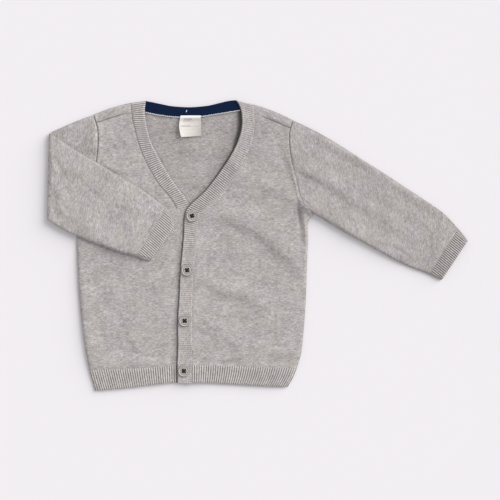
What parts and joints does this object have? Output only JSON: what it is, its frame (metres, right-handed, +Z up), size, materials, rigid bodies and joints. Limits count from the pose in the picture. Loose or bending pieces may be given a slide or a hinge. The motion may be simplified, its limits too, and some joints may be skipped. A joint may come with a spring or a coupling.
{
  "type": "baby cardigan",
  "caption": "Baby's V-neck cardigan in fine grey knit, laid flat with its buttons closed, one sleeve stretched out and the other folded back over the front.",
  "frame": {"origin": "on the flat underside of the back, on the surface that the cardigan lies on, near the middle of the back", "axes": "+X to the wearer's left, along the stretched-out sleeve's side; +Y towards the neck; +Z up, off the surface"},
  "size_m": [0.4842, 0.3346, 0.0088],
  "materials": {
    "jersey": "fine melange grey cotton jersey, matt",
    "rib": "melange grey one-by-one rib, matt",
    "tape": "navy cotton herringbone tape",
    "label": "off-white satin ribbon",
    "button": "grey polyester, soft gloss",
    "thread": "sewing thread"
  },
  "bodies": {
    "root": {"back": "jersey", "front_left": "jersey", "front_right": "jersey", "sleeve_left": "jersey", "sleeve_right": "jersey", "cuff_left": "rib", "cuff_right": "rib", "hem_back": "rib", "hem_front_left": "rib", "hem_front_right": "rib", "band_left": "rib", "band_right": "rib", "neck_tape": "tape", "label": "label", "button_1": "button", "button_2": "button", "button_3": "button", "button_4": "button"}
  },
  "joints": []
}
